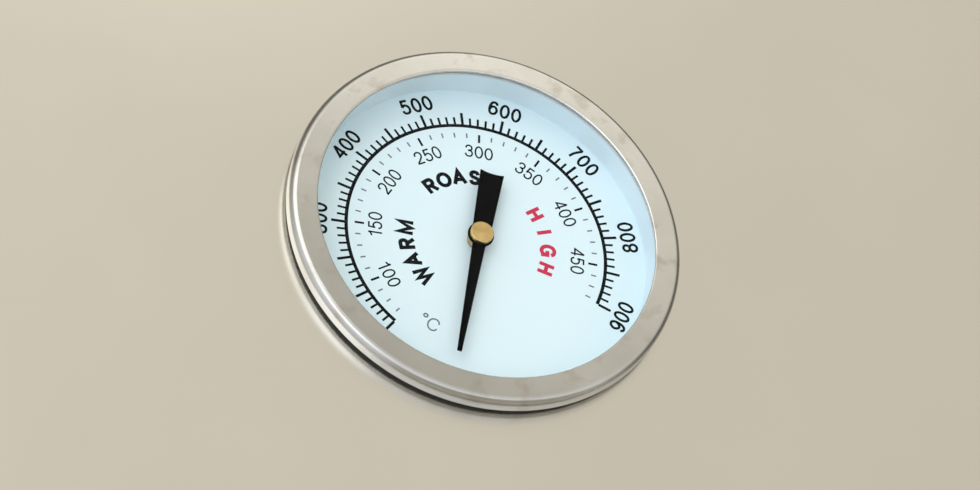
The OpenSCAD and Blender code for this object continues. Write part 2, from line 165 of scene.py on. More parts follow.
class GaugeShape(bpy.types.PropertyGroup):
    """Sizes of the pieces that are drawn finer than the frame."""

    bezel_sheet: FloatProperty(
        name="Bezel sheet", description="Thickness of the bezel's sheet", default=0.5 * MM, unit="LENGTH")
    bezel_edge: FloatProperty(
        name="Bezel edge", description="Radius of the bezel's outer front edge",
        default=1.6 * MM, unit="LENGTH")
    bezel_crown: FloatProperty(
        name="Bezel crown", description="Drop of the face from its lip to its outer edge",
        default=0.2 * MM, unit="LENGTH")
    bezel_foot: FloatProperty(
        name="Bezel foot", description="Radius of the bend at the bezel's foot",
        default=0.7 * MM, unit="LENGTH")
    foot_reach: FloatProperty(
        name="Foot reach", description="Inner radius of the bezel's rolled foot",
        default=37.0 * MM, unit="LENGTH")
    needle_reach: FloatProperty(
        name="Needle reach", description="From the spindle to the needle's tip",
        default=27.3 * MM, unit="LENGTH")
    needle_root: FloatProperty(
        name="Needle root", description="Width of the needle beside the hub", default=2.8 * MM, unit="LENGTH")
    needle_tip: FloatProperty(
        name="Needle tip", description="Width of the needle's blunt tip", default=0.9 * MM, unit="LENGTH")
    tail_reach: FloatProperty(
        name="Tail reach", description="From the spindle to the tail's end", default=15.0 * MM, unit="LENGTH")
    tail_root: FloatProperty(
        name="Tail root", description="Width of the tail beside the hub", default=3.7 * MM, unit="LENGTH")
    tail_end: FloatProperty(
        name="Tail end", description="Width of the tail's flared end", default=4.9 * MM, unit="LENGTH")
    tail_hollow: FloatProperty(
        name="Tail hollow", description="Depth of the hollow in the tail's end",
        default=0.35 * MM, unit="LENGTH")
    hub_radius: FloatProperty(
        name="Hub radius", description="Radius of the pointer's round hub", default=2.65 * MM, unit="LENGTH")
    pointer_angle: FloatProperty(
        name="Pointer angle", description="Clockwise from twelve o'clock, at rest",
        default=radians(-156), subtype="ANGLE")
    thread_radius: FloatProperty(
        name="Thread radius", description="Outer radius of the fitting's thread",
        default=5.0 * MM, unit="LENGTH")
    thread_pitch: FloatProperty(
        name="Thread pitch", description="Rise of the thread in one turn", default=1.5 * MM, unit="LENGTH")
    thread_start: FloatProperty(
        name="Thread start", description="Where the thread begins behind the case",
        default=10.5 * MM, unit="LENGTH")
    flange_back: FloatProperty(
        name="Flange back", description="Rear face of the fitting's flange", default=8.9 * MM, unit="LENGTH")


class GaugePrint(bpy.types.PropertyGroup):
    """Sizes of the dial's print, most of them in parts of the arc's radius."""

    arc_radius: FloatProperty(
        name="Arc radius", description="Radius of the Fahrenheit arc", default=26.7 * MM, unit="LENGTH")
    film: FloatProperty(
        name="Ink film", description="Height of the ink on the enamel", default=0.03 * MM, unit="LENGTH")
    arc_width: FloatProperty(name="Arc width", description="Width of the arc's line", default=0.026)
    long_tick: FloatProperty(name="Long tick", description="Outer end of the long ticks", default=1.113)
    short_tick: FloatProperty(name="Short tick", description="Outer end of the short ticks", default=1.072)
    number_radius: FloatProperty(
        name="Number radius", description="Middle of the large numbers", default=1.205)
    number_height: FloatProperty(
        name="Number height", description="Height of the large numbers", default=0.128)
    inner_radius: FloatProperty(
        name="Inner number radius", description="Middle of the small numbers", default=0.780)
    inner_height: FloatProperty(
        name="Inner number height", description="Height of the small numbers", default=0.108)
    word_radius: FloatProperty(name="Word radius", description="Middle of the zone words", default=0.550)
    word_height: FloatProperty(name="Word height", description="Height of the zone words", default=0.130)
    first_word: StringProperty(name="First word", description="Zone word at the left", default="WARM")
    second_word: StringProperty(name="Second word", description="Zone word at the top", default="ROAST")
    third_word: StringProperty(name="Third word", description="Zone word at the right", default="HIGH")


class GaugeColours(bpy.types.PropertyGroup):
    """Colours of the finishes, as sRGB hex values."""

    steel: StringProperty(name="Bezel steel", description="Brushed stainless steel", default="#D3D4D1")
    drawn_steel: StringProperty(name="Drawn steel", description="Case, stem and fitting", default="#C4C2BE")
    zinc: StringProperty(name="Zinc", description="Bright zinc plating", default="#C3C6CA")
    enamel: StringProperty(name="Enamel", description="White of the dial", default="#E4F5FB")
    # Paler and bluer than the dial's white, as painted light that lifts the shade on the wall.
    wall: StringProperty(name="Wall", description="White of the wall round the dial", default="#E8F7FE")
    black_ink: StringProperty(name="Black ink", description="Scale and words", default="#0A0D12")
    grey_ink: StringProperty(name="Grey ink", description="Fine inner ticks and signs", default="#5F6A72")
    red_ink: StringProperty(name="Red ink", description="Hot zone word", default="#C2304E")
    lacquer: StringProperty(name="Lacquer", description="Black of the pointer", default="#040405")
    brass: StringProperty(name="Brass", description="Turned brass", default="#F2D698")
    rubber: StringProperty(name="Rubber", description="Black gasket", default="#131312")
    # Paler than the gasket's grey silicone, as painted light in the shade under the bezel's lip.
    silicone: StringProperty(name="Silicone", description="Pale lens gasket", default="#D0D5D8")
    fibre: StringProperty(name="Fibre", description="Sealing ring of the fitting", default="#D8D3C4")
    bimetal: StringProperty(name="Bimetal", description="Rolled bimetal strip", default="#A8987E")


class GaugeStage(bpy.types.PropertyGroup):
    """Board, light and camera."""

    board: StringProperty(name="Board", description="Colour of the board round the gauge", default="#DFDCD5")
    floor: StringProperty(name="Floor", description="Colour of the floor", default="#EBE8E1")
    sky: StringProperty(name="Surround", description="Warm side of the surrounding light", default="#F8F1E2")
    window: StringProperty(
        name="Window", description="White side of the surrounding light", default="#FAFBFF")
    camera_at: FloatVectorProperty(
        name="Camera", description="Place of the camera", size=3,
        default=(-271.9 * MM, -577.4 * MM, -315.6 * MM), subtype="TRANSLATION")
    camera_aim: FloatVectorProperty(
        name="Aim", description="Point at the middle of the picture", size=3,
        default=(1.07 * MM, 0.0, -2.7 * MM), subtype="TRANSLATION")
    camera_roll: FloatProperty(
        name="Roll", description="Clockwise roll of the camera", default=radians(15.97), subtype="ANGLE")
    lens: FloatProperty(
        name="Lens", description="Focal length on a 36 mm sensor, in millimetres", default=133.53)


def add(tree, kind, inputs=None, **settings):
    """Adds a node, sets its options and fills its inputs. A node given as a value is linked."""
    node = tree.nodes.new(kind)
    for key, value in settings.items():
        setattr(node, key, value)
    for key, value in (inputs or {}).items():
        if isinstance(value, bpy.types.Node):
            value = next(socket for socket in value.outputs if socket.enabled)
        if isinstance(value, bpy.types.NodeSocket):
            tree.links.new(value, node.inputs[key])
        else:
            node.inputs[key].default_value = value
    return node


def new_finish(name):
    """An empty material, its node tree, and the place of a point on the piece."""
    finish = bpy.data.materials.new(name)
    finish.use_nodes = True
    tree = finish.node_tree
    tree.nodes.clear()
    return finish, tree, add(tree, "ShaderNodeTexCoord").outputs["Object"]


def turning_marks(tree, place, spacing_mm, sweep):
    """Noise in fine lines round the dial's axis, as a lathe or a circular brush leaves them.

    spacing_mm is the distance between lines, and sweep is how many times a line changes in one radian.
    """
    axes = add(tree, "ShaderNodeSeparateXYZ", {0: place})
    flat = add(tree, "ShaderNodeVectorMath", {0: place, 1: (1, 0, 1)}, operation="MULTIPLY")
    reach = add(tree, "ShaderNodeVectorMath", {0: flat}, operation="LENGTH")
    turn = add(tree, "ShaderNodeMath", {0: axes.outputs["X"], 1: axes.outputs["Z"]}, operation="ARCTAN2")
    along = add(tree, "ShaderNodeMath", {0: turn, 1: sweep * spacing_mm * MM}, operation="MULTIPLY")
    point = add(tree, "ShaderNodeCombineXYZ",
                {"X": reach.outputs["Value"], "Y": axes.outputs["Y"], "Z": along})
    return add(tree, "ShaderNodeTexNoise",
               {"Vector": point, "Scale": 1 / (spacing_mm * MM), "Detail": 2.0, "Roughness": 0.6})


def skin(finish, tone, rough, relief, sockets=None):
    """Joins a finish's patterns in one shader, and returns the finish.

    tone is a pattern and the two colours it fades between, rough is a pattern and its two values of
    roughness, and relief is a pattern with the strength and height of its bump. sockets are the values that
    are the same all over.
    """
    tree = finish.node_tree
    (mottle, first, second), (dull, least, most), (height, strength, depth) = tone, rough, relief
    shader = add(tree, "ShaderNodeBsdfPrincipled", {
        "Base Color": add(tree, "ShaderNodeMix", {0: mottle, 6: linear(first), 7: linear(second)},
                          data_type="RGBA"),
        "Roughness": add(tree, "ShaderNodeMapRange", {"Value": dull, "To Min": least, "To Max": most}),
        "Normal": add(tree, "ShaderNodeBump", {"Height": height, "Strength": strength, "Distance": depth}),
        **(sockets or {}),
    })
    add(tree, "ShaderNodeOutputMaterial", {"Surface": shader})
    return finish


def brushed_stainless(colours):
    """Drawn stainless ring, brushed round its axis.

    It gives the eye a warm grey satin with hairlines along the rim, finger smudges and a few brownish stains,
    with painted shade on the lower left of the face and a painted reflection on its upper right.
    """
    finish, tree, place = new_finish("stainless_steel_circular_brushed")
    # 180 grit leaves lines about 0.1 mm apart; 0.25 mm is drawn so that they show in the render.
    lines = turning_marks(tree, place, 0.25, 1.5)
    # A painted gradient runs across the face from painted shade at the lower left to a painted reflection at
    # the upper right, and ends where the outer edge bends back.
    upper_right, painted_shade_reach = (0.74, 0, 0.67), 38 * MM
    bend_start, bend_end = BEZEL_FRONT + 0.3 * MM, BEZEL_FRONT + 1.2 * MM
    across = add(tree, "ShaderNodeVectorMath", {0: place, 1: upper_right}, operation="DOT_PRODUCT")
    clean = add(tree, "ShaderNodeMapRange",
                {"Value": across.outputs["Value"], "From Min": -painted_shade_reach, "From Max": painted_shade_reach})
    # Painted shade at the lower left of the face, painted reflection at its upper right.
    painted_shade_and_reflection = add(tree, "ShaderNodeMix", {0: clean, 6: linear("#BEBFBD"), 7: linear("#F0F1F0")},
                 data_type="RGBA")
    depth = add(tree, "ShaderNodeSeparateXYZ", {0: place}).outputs["Y"]
    on_wall = add(tree, "ShaderNodeMapRange", {"Value": depth, "From Min": bend_start, "From Max": bend_end})
    metal = add(tree, "ShaderNodeMix", {0: on_wall, 6: painted_shade_and_reflection, 7: linear(colours.steel)}, data_type="RGBA")
    smudge = add(tree, "ShaderNodeTexNoise", {"Vector": place, "Scale": 1 / (9 * MM), "Detail": 3.0})
    handled = add(tree, "ShaderNodeMix", {0: smudge, 6: metal, 7: linear("#E4E3DF")},
                  data_type="RGBA", blend_type="MULTIPLY")
    spots = add(tree, "ShaderNodeTexNoise", {"Vector": place, "Scale": 1 / (5 * MM), "Detail": 5.0})
    stain = add(tree, "ShaderNodeMapRange",
                {"Value": spots, "From Min": 0.55, "From Max": 0.72, "To Max": 0.42})
    stained = add(tree, "ShaderNodeMix", {0: stain, 6: handled, 7: linear("#A8988A")}, data_type="RGBA")
    shader = add(tree, "ShaderNodeBsdfPrincipled", {
        "Base Color": stained,
        "Metallic": 1.0,
        "Roughness": add(tree, "ShaderNodeMapRange", {"Value": lines, "To Min": 0.20, "To Max": 0.30}),
        "Anisotropic": 0.4,
        "Tangent": add(tree, "ShaderNodeTangent", direction_type="RADIAL", axis="Y"),
        "Normal": add(tree, "ShaderNodeBump", {"Height": lines, "Strength": 0.04, "Distance": 0.03 * MM}),
    })
    add(tree, "ShaderNodeOutputMaterial", {"Surface": shader})
    return finish


def drawn_stainless(colours, name, rough_low, rough_high):
    """Pressed, drawn or turned stainless steel: a dull cloudy skin with faint lines round its axis."""
    finish, tree, place = new_finish(name)
    # Draw lines are about 0.2 mm apart; 0.5 mm is drawn so that they show.
    lines = turning_marks(tree, place, 0.5, 2.0)
    cloud = add(tree, "ShaderNodeTexNoise", {"Vector": place, "Scale": 1 / (6 * MM), "Detail": 3.0})
    return skin(finish, (cloud, "#A9A7A3", colours.drawn_steel), (cloud, rough_low, rough_high),
                (lines, 0.10, 0.03 * MM), {"Metallic": 1.0})


def zinc_plated(colours):
    """Bright zinc plating on pressed steel: a cool grey with the crystals' faint mottle."""
    finish, tree, place = new_finish("steel_bright_zinc_plated")
    crystals = add(tree, "ShaderNodeTexNoise", {"Vector": place, "Scale": 1 / (1.6 * MM), "Detail": 4.0})
    dull = add(tree, "ShaderNodeTexNoise", {"Vector": place, "Scale": 1 / (7 * MM), "Detail": 3.0})
    return skin(finish, (crystals, "#A7ABB0", colours.zinc), (dull, 0.22, 0.44), (crystals, 0.15, 0.05 * MM),
                {"Metallic": 1.0})


def turned_brass(colours, name, dark, rough):
    """Brass turned on a lathe: warm yellow with tool lines round its axis and darker tarnish patches."""
    finish, tree, place = new_finish(name)
    # The tool's feed leaves lines about 0.08 mm apart; 0.2 mm is drawn so that they show.
    lines = turning_marks(tree, place, 0.2, 1.5)
    tarnish = add(tree, "ShaderNodeTexNoise", {"Vector": place, "Scale": 1 / (2.2 * MM), "Detail": 3.0})
    return skin(finish, (tarnish, dark, colours.brass), (lines, rough - 0.08, rough + 0.10),
                (lines, 0.25, 0.03 * MM), {"Metallic": 1.0})


def fired_enamel(hex_code, tone, name):
    """White enamel fired on sheet: clean cool white with a satin skin that is never quite flat."""
    finish, tree, place = new_finish(name)
    ripple = add(tree, "ShaderNodeTexNoise", {"Vector": place, "Scale": 1 / (3 * MM), "Detail": 3.0})
    cloud = add(tree, "ShaderNodeTexNoise", {"Vector": place, "Scale": 1 / (16 * MM), "Detail": 3.0})
    return skin(finish, (cloud, tone, hex_code), (ripple, 0.34, 0.46), (ripple, 0.05, 0.05 * MM),
                {"IOR": 1.5})


def screen_ink(hex_code, thin, name):
    """Screen-printed ink: a thin film, a little paler where the mesh of the screen left less of it."""
    finish, tree, place = new_finish(name)
    # The screen's mesh is about 0.1 mm; 0.25 mm is drawn so that it shows.
    grain = add(tree, "ShaderNodeTexNoise", {"Vector": place, "Scale": 1 / (0.25 * MM)})
    return skin(finish, (grain, hex_code, thin), (grain, 0.55, 0.72), (grain, 0.10, 0.01 * MM),
                {"IOR": 1.48, "Specular IOR Level": 0.06})


def black_lacquer(colours):
    """Matte lacquer sprayed on thin sheet: deep black with a fine orange-peel and a dull sheen."""
    finish, tree, place = new_finish("lacquer_black_sprayed")
    peel = add(tree, "ShaderNodeTexNoise", {"Vector": place, "Scale": 1 / (0.5 * MM)})
    dust = add(tree, "ShaderNodeTexNoise", {"Vector": place, "Scale": 1 / (4 * MM), "Detail": 3.0})
    return skin(finish, (dust, colours.lacquer, "#08080A"), (peel, 0.60, 0.78), (peel, 0.12, 0.02 * MM),
                {"IOR": 1.5, "Specular IOR Level": 0.02})


def moulded_rubber(hex_code, dusty, name):
    """Moulded rubber: dull, slightly dusty, with a fine grain from the mould."""
    finish, tree, place = new_finish(name)
    grain = add(tree, "ShaderNodeTexNoise", {"Vector": place, "Scale": 1 / (0.4 * MM)})
    dust = add(tree, "ShaderNodeTexNoise", {"Vector": place, "Scale": 1 / (5 * MM), "Detail": 3.0})
    return skin(finish, (dust, hex_code, dusty), (grain, 0.62, 0.82), (grain, 0.2, 0.03 * MM), {"IOR": 1.52})


def pressed_fibre(colours):
    """Pressed fibre ring: pale, matte, with short flecks."""
    finish, tree, place = new_finish("fibre_pressed")
    flecks = add(tree, "ShaderNodeTexNoise", {"Vector": place, "Scale": 1 / (0.6 * MM), "Detail": 5.0})
    return skin(finish, (flecks, "#B9B29E", colours.fibre), (flecks, 0.75, 0.92), (flecks, 0.3, 0.05 * MM))


def rolled_bimetal(colours):
    """Rolled bimetal strip: dull straw grey with fine lines along the strip."""
    finish, tree, place = new_finish("bimetal_rolled")
    lines = turning_marks(tree, place, 0.15, 3.0)
    return skin(finish, (lines, "#8E8069", colours.bimetal), (lines, 0.34, 0.5), (lines, 0.1, 0.02 * MM),
                {"Metallic": 1.0})


def float_glass():
    """Clear float glass with an anti-glare coat: it bends the view of the dial and mirrors little."""
    finish, tree, place = new_finish("float_glass_anti_glare")
    film = add(tree, "ShaderNodeTexNoise", {"Vector": place, "Scale": 1 / (14 * MM), "Detail": 3.0})
    glass = add(tree, "ShaderNodeBsdfPrincipled", {
        "Base Color": linear("#FDFFFF"),
        "Roughness": add(tree, "ShaderNodeMapRange", {"Value": film, "To Min": 0.0, "To Max": 0.012}),
        "IOR": 1.5,
        "Specular Tint": linear("#1E1E20"),
        "Transmission Weight": 1.0,
    })
    # Light on its way to the dial passes straight through.
    clear = add(tree, "ShaderNodeBsdfTransparent", {"Color": linear("#FCFEFF")})
    path = add(tree, "ShaderNodeLightPath")
    lit = add(tree, "ShaderNodeMath",
              {0: path.outputs["Is Shadow Ray"], 1: path.outputs["Is Diffuse Ray"]}, operation="MAXIMUM")
    both = add(tree, "ShaderNodeMixShader", {0: lit, 1: glass, 2: clear})
    add(tree, "ShaderNodeOutputMaterial", {"Surface": both})
    return finish


def piece_from_bmesh(name, bm, sharp_degrees=35):
    """Turns a bmesh into a linked object, smooth but for edges sharper than the given angle."""
    bmesh.ops.remove_doubles(bm, verts=bm.verts, dist=1e-7)
    bmesh.ops.recalc_face_normals(bm, faces=bm.faces)
    mesh = bpy.data.meshes.new(name)
    bm.to_mesh(mesh)
    bm.free()
    mesh.polygons.foreach_set("use_smooth", [True] * len(mesh.polygons))
    mesh.set_sharp_from_angle(angle=radians(sharp_degrees))
    piece = bpy.data.objects.new(name, mesh)
    bpy.context.scene.collection.objects.link(piece)
    return piece


def piece_from_mesh(name, mesh, sharp_degrees=35):
    """The same from a loose mesh, which is then removed."""
    bm = bmesh.new()
    bm.from_mesh(mesh)
    bpy.data.meshes.remove(mesh)
    return piece_from_bmesh(name, bm, sharp_degrees)


def arc(middle_r, middle_y, radius, start, stop, steps):
    """Points (r, y) on a bend in so many steps. Angles are in degrees from outward towards the back."""
    turns = [radians(start + (stop - start) * i / steps) for i in range(steps + 1)]
    return [(middle_r + radius * cos(t), middle_y + radius * sin(t)) for t in turns]


def lathed(name, outline, steps, closed=True, shape=None):
    """Turns an outline of (r, y) points round the dial's axis. shape(r, y, turn) may bend the radius."""
    bm = bmesh.new()
    rows = []
    for r, y in outline:
        if r < TINY:
            rows.append([bm.verts.new((0, y, 0))] * steps)
            continue
        row = []
        for i in range(steps):
            turn = 2 * pi * i / steps
            reach = shape(r, y, turn) if shape else r
            row.append(bm.verts.new((reach * sin(turn), y, reach * cos(turn))))
        rows.append(row)
    pairs = list(zip(rows, rows[1:]))
    if closed:
        pairs.append((rows[-1], rows[0]))
    for a, b in pairs:
        for i in range(steps):
            corners = []
            for v in (a[i], a[i - 1], b[i - 1], b[i]):
                if v not in corners:
                    corners.append(v)
            if len(corners) > 2:
                bm.faces.new(corners)
    return piece_from_bmesh(name, bm)


def settled_mesh(holder):
    """The mesh that an object's curve or modifiers give. The object itself is then removed."""
    bpy.context.scene.collection.objects.link(holder)
    bpy.context.view_layer.update()
    graph = bpy.context.evaluated_depsgraph_get()
    mesh = bpy.data.meshes.new_from_object(holder.evaluated_get(graph))
    bpy.data.objects.remove(holder)
    return mesh


def plate(name, outlines, thickness, bevel):
    """A flat sheet piece with bevelled edges, drawn in X and Y with its middle at z = 0."""
    curve = bpy.data.curves.new(name, "CURVE")
    curve.dimensions = "2D"
    curve.fill_mode = "BOTH"
    curve.extrude = thickness / 2 - bevel
    curve.bevel_depth = bevel
    curve.bevel_resolution = 2
    curve.offset = -bevel
    for outline in outlines:
        spline = curve.splines.new("POLY")
        spline.points.add(len(outline) - 1)
        for point, (x, y) in zip(spline.points, outline):
            point.co = (x, y, 0, 1)
        spline.use_cyclic_u = True
    mesh = settled_mesh(bpy.data.objects.new(name, curve))
    bpy.data.curves.remove(curve)
    return mesh


def softened(node, name, width):
    """A copy of a frame node's shape with its sharp edges rounded, as pressing or tumbling leaves them."""
    flat, corner = radians(0.4), radians(32)
    bm = bmesh.new()
    bm.from_mesh(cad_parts[node].data)
    bmesh.ops.remove_doubles(bm, verts=bm.verts, dist=2 * TINY)
    bmesh.ops.dissolve_limit(bm, angle_limit=flat, verts=bm.verts, edges=bm.edges)
    sharp = [e for e in bm.edges if e.is_manifold and e.calc_face_angle() > corner]
    bmesh.ops.bevel(bm, geom=sharp, offset=width, segments=3, profile=0.5, affect="EDGES",
                    clamp_overlap=False)
    return piece_from_bmesh(name, bm, sharp_degrees=50)


def forged(node, name, grid, passes, kept):
    """A copy of a frame node's shape with edges eased and corners filled, as hot forging leaves them."""
    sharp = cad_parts[node].data.copy()
    holder = bpy.data.objects.new(name, sharp)
    remesh = holder.modifiers.new("grid", "REMESH")
    remesh.mode = "VOXEL"
    remesh.voxel_size = grid
    holder.modifiers.new("ease", "SMOOTH").iterations = passes
    holder.modifiers.new("thin_out", "DECIMATE").ratio = kept
    mesh = settled_mesh(holder)
    bpy.data.meshes.remove(sharp)
    return piece_from_mesh(name, mesh, sharp_degrees=60)


def dress(piece, finish, body, slot, *nodes):
    """Gives a piece its finish and ties it to its body and the frame nodes it stands for; slot is not used."""
    piece.data.materials.clear()
    piece.data.materials.append(finish)
    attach(piece, body)
    if nodes:
        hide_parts(*nodes)


def carry(finish, *nodes):
    """Gives frame nodes that stay in view their finish."""
    for name in nodes:
        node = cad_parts[name]
        if not node.material_slots:
            node.data.materials.append(finish)
        for place in node.material_slots:
            place.material = finish


class GAUGE_OT_bezel(bpy.types.Operator):
    """Drawn steel ring with a rolled foot"""

    bl_idname = "gauge.bezel"
    bl_label = "Bezel"

    def execute(self, context):
        size = context.scene.gauge_shape
        sheet, edge, foot = size.bezel_sheet, size.bezel_edge, size.bezel_foot
        lip, crown, steps = sheet / 2, size.bezel_crown, 8
        width = BEZEL_R - edge - OPENING_R - lip
        outline = arc(OPENING_R + lip, BEZEL_FRONT + lip, lip, 90, 270, 10)
        outline += [(OPENING_R + lip + width * i / steps, BEZEL_FRONT + crown * i / steps)
                    for i in range(1, steps)]
        outline += arc(BEZEL_R - edge, BEZEL_FRONT + crown + edge, edge, -90, 0, 14)
        outline += arc(BEZEL_R - foot, BEZEL_BACK - foot, foot, 0, 90, 8)
        outline += [(size.foot_reach, BEZEL_BACK), (size.foot_reach, BEZEL_BACK - sheet)]
        outline += arc(BEZEL_R - foot, BEZEL_BACK - foot, foot - sheet, 90, 0, 5)
        outline += arc(BEZEL_R - edge, BEZEL_FRONT + crown + edge, edge - sheet, 0, -90, 8)
        ring = lathed("bezel", outline, steps=256)
        dress(ring, brushed_stainless(context.scene.gauge_colours), "gauge", "bezel_steel", "bezel_ring")
        return {"FINISHED"}


class GAUGE_OT_case(bpy.types.Operator):
    """Glass, gaskets, case cup and the white wall round the dial"""

    bl_idname = "gauge.case"
    bl_label = "Glass, gaskets and case"

    def execute(self, context):
        colours = context.scene.gauge_colours
        carry(float_glass(), "glass_lens")
        # The gasket's pale silicone is painted light that lifts the shade under the bezel's lip.
        carry(moulded_rubber(colours.silicone, "#DCE0E2", "silicone_moulded_painted_light"), "lens_gasket")
        carry(moulded_rubber(colours.rubber, "#1D1D1C", "rubber_moulded"), "panel_gasket")
        carry(drawn_stainless(colours, "stainless_steel_deep_drawn", 0.32, 0.48), "case_cup")
        # The wall's paler, bluer white is painted light that lifts the shade on the wall round the dial.
        carry(fired_enamel(colours.wall, "#E1F3FC", "enamel_white_wall_painted_light"), "dial_retainer")
        return {"FINISHED"}


def dial_point(r, turn, height):
    """A point on the dial: turn is clockwise from twelve o'clock, height is above the enamel."""
    return Vector((r * sin(turn), DIAL_FACE - height, r * cos(turn)))


def print_block(bm, corners, film):
    """A flat patch of ink between four (r, turn) corners."""
    low = [bm.verts.new(dial_point(r, t, 0)) for r, t in corners]
    high = [bm.verts.new(dial_point(r, t, film)) for r, t in corners]
    bm.faces.new(low)
    bm.faces.new(high)
    for i in range(4):
        bm.faces.new((low[i - 1], low[i], high[i], high[i - 1]))


def print_tick(bm, turn, inner, outer, width, film):
    """A radial stroke."""
    half = width / 2
    print_block(bm, [(inner, turn - half / inner), (outer, turn - half / outer),
                     (outer, turn + half / outer), (inner, turn + half / inner)], film)


def smooth(points, closed):
    """Points on a smooth curve through the given ones."""
    points = [Vector(p) for p in points]
    if closed:
        chain = points[-1:] + points + points[:2]
    else:
        chain = points[:1] + points + points[-1:]
    fine = []
    for a, b, c, d in zip(chain, chain[1:], chain[2:], chain[3:]):
        for k in range(CURVE_STEPS):
            t = k / CURVE_STEPS
            fine.append(b + 0.5 * t * (c - a + t * (2 * a - 5 * b + 4 * c - d + t * (3 * b - a - 3 * c + d))))
    return fine if closed else fine + points[-1:]


def stroke_sides(points, half, closed):
    """The two sides of a stroke along a path, with mitred corners."""
    ways = [(b - a).normalized() for a, b in zip(points, points[1:] + points[:1])]
    if not closed:
        ways[-1] = ways[-2]
    left, right = [], []
    for i, point in enumerate(points):
        into = ways[i - 1] if closed or i > 0 else ways[0]
        across = Vector((-into.y - ways[i].y, into.x + ways[i].x))
        across.normalize()
        across *= half / max(MITRE_LIMIT, across.dot(Vector((-into.y, into.x))))
        left.append(point + across)
        right.append(point - across)
    return left, right


def print_letter(bm, letter, height, weight, shift, place):
    """Prints one letter. place(x, y, up) puts a point of its plane on the dial; shift moves it sideways."""
    width, *strokes = LETTERS[letter]
    thick = weight * height
    wide, tall = width / 100 * height - thick, height - thick
    for step, stroke in enumerate(strokes):
        top = 1 + STROKE_RISE * step
        kind, *pairs = stroke.split()
        points = [[int(number) / 100 for number in pair.split(",")] for pair in pairs]
        closed = kind == "oval"
        if closed:
            (x0, y0), (x1, y1) = points
            points = [(x0 + (x1 - x0) * x, y0 + (y1 - y0) * y) for x, y in OVAL]
        path = [Vector(p) for p in points] if kind == "line" else smooth(points, closed)
        path = [Vector((shift + (p.x - 0.5) * max(wide, 0), (p.y - 0.5) * tall)) for p in path]
        left, right = stroke_sides(path, thick / 2, closed)
        rows = []
        for a, b in zip(left, right):
            rows.append([bm.verts.new(place(v.x, v.y, up)) for v, up in ((a, 0), (a, top), (b, top), (b, 0))])
        for i in range(len(rows) if closed else len(rows) - 1):
            here, there = rows[i], rows[(i + 1) % len(rows)]
            for k in range(4):
                bm.faces.new((here[k - 1], here[k], there[k], there[k - 1]))
        if not closed:
            bm.faces.new(rows[0])
            bm.faces.new(rows[-1])


def print_text(bm, text, r, turn, height, weight, film, turned=False):
    """Lettering with its tops outward, or towards the middle if turned. weight is in parts of the height."""
    up = Vector((sin(turn), 0, cos(turn))) * (-1 if turned else 1)
    right = Vector((up.z, 0, -up.x))
    centre = dial_point(r, turn, 0)
    pitch = LETTER_STEP * height
    for i, letter in enumerate(text):
        print_letter(bm, letter, height, weight, (i - (len(text) - 1) / 2) * pitch,
                     lambda x, y, top: centre + right * x + up * y + Vector((0, -film * top, 0)))


def turn_of(fahrenheit):
    """Where a temperature stands on the dial, clockwise from twelve o'clock."""
    return radians((fahrenheit - TOP_FAHRENHEIT) * DEGREES_PER_FAHRENHEIT)


def in_fahrenheit(celsius):
    """The same temperature in degrees Fahrenheit."""
    return celsius * 1.8 + 32


class GAUGE_OT_dial(bpy.types.Operator):
    """Enamelled dial with its printed scales"""

    bl_idname = "gauge.dial"
    bl_label = "Dial"

    def execute(self, context):
        colours = context.scene.gauge_colours
        ink = context.scene.gauge_print
        unit, film = ink.arc_radius, ink.film
        carry(fired_enamel(colours.enamel, "#DFF2F9", "enamel_white_dial"), "dial_plate")

        black, grey, red = bmesh.new(), bmesh.new(), bmesh.new()
        half = ink.arc_width * unit / 2
        first, last = turn_of(FIRST_FAHRENHEIT), turn_of(LAST_FAHRENHEIT)
        turns = [first + (last - first) * i / ARC_STEPS for i in range(ARC_STEPS + 1)]
        for a, b in zip(turns, turns[1:]):
            print_block(black, [(unit - half, a), (unit + half, a), (unit + half, b), (unit - half, b)], film)
        for value in range(FIRST_FAHRENHEIT, LAST_FAHRENHEIT + 1, TICK_STEP):
            long = value % LONG_STEP == 0
            outer = ink.long_tick if long else ink.short_tick
            width = LONG_WIDTH if long else SHORT_WIDTH
            print_tick(black, turn_of(value), unit + half, outer * unit, width * unit, film)
        for value in FAHRENHEIT_NUMBERS:
            print_text(black, str(value), ink.number_radius * unit, turn_of(value),
                       ink.number_height * unit, NUMBER_WEIGHT, film, value in TURNED_FAHRENHEIT)
        for value in range(FIRST_CELSIUS, LAST_CELSIUS + 1, TICK_STEP):
            long = value % LONG_STEP == 0
            foot = INNER_LONG_FOOT if long else INNER_SHORT_FOOT
            width = SHORT_WIDTH if long else FINE_WIDTH
            print_tick(black if long else grey, turn_of(in_fahrenheit(value)), foot * unit, INNER_TOP * unit,
                       width * unit, film)
        for value in CELSIUS_NUMBERS:
            print_text(black, str(value), ink.inner_radius * unit, turn_of(in_fahrenheit(value)),
                       ink.inner_height * unit, INNER_WEIGHT, film, value in TURNED_CELSIUS)
        for sign, reach in SIGNS:
            print_text(grey, sign, reach * unit, SIGN_TURN, SIGN_HEIGHT * unit, SIGN_WEIGHT, film, True)
        words = (ink.first_word, ink.second_word, ink.third_word)
        for bm, word, (start, stop) in zip((black, black, red), words, WORD_ARCS):
            for i, letter in enumerate(word):
                turn = radians(start + (stop - start) * i / max(1, len(word) - 1))
                print_text(bm, letter, ink.word_radius * unit, turn, ink.word_height * unit,
                           WORD_WEIGHT, film)
        for bm, name, hex_code, thin in ((black, "black", colours.black_ink, "#14181D"),
                                         (grey, "grey", colours.grey_ink, "#76828A"),
                                         (red, "red", colours.red_ink, "#DB3F60")):
            layer = piece_from_bmesh("dial_print_" + name, bm)
            dress(layer, screen_ink(hex_code, thin, "screen_ink_" + name), "gauge", "dial_enamel")
        return {"FINISHED"}


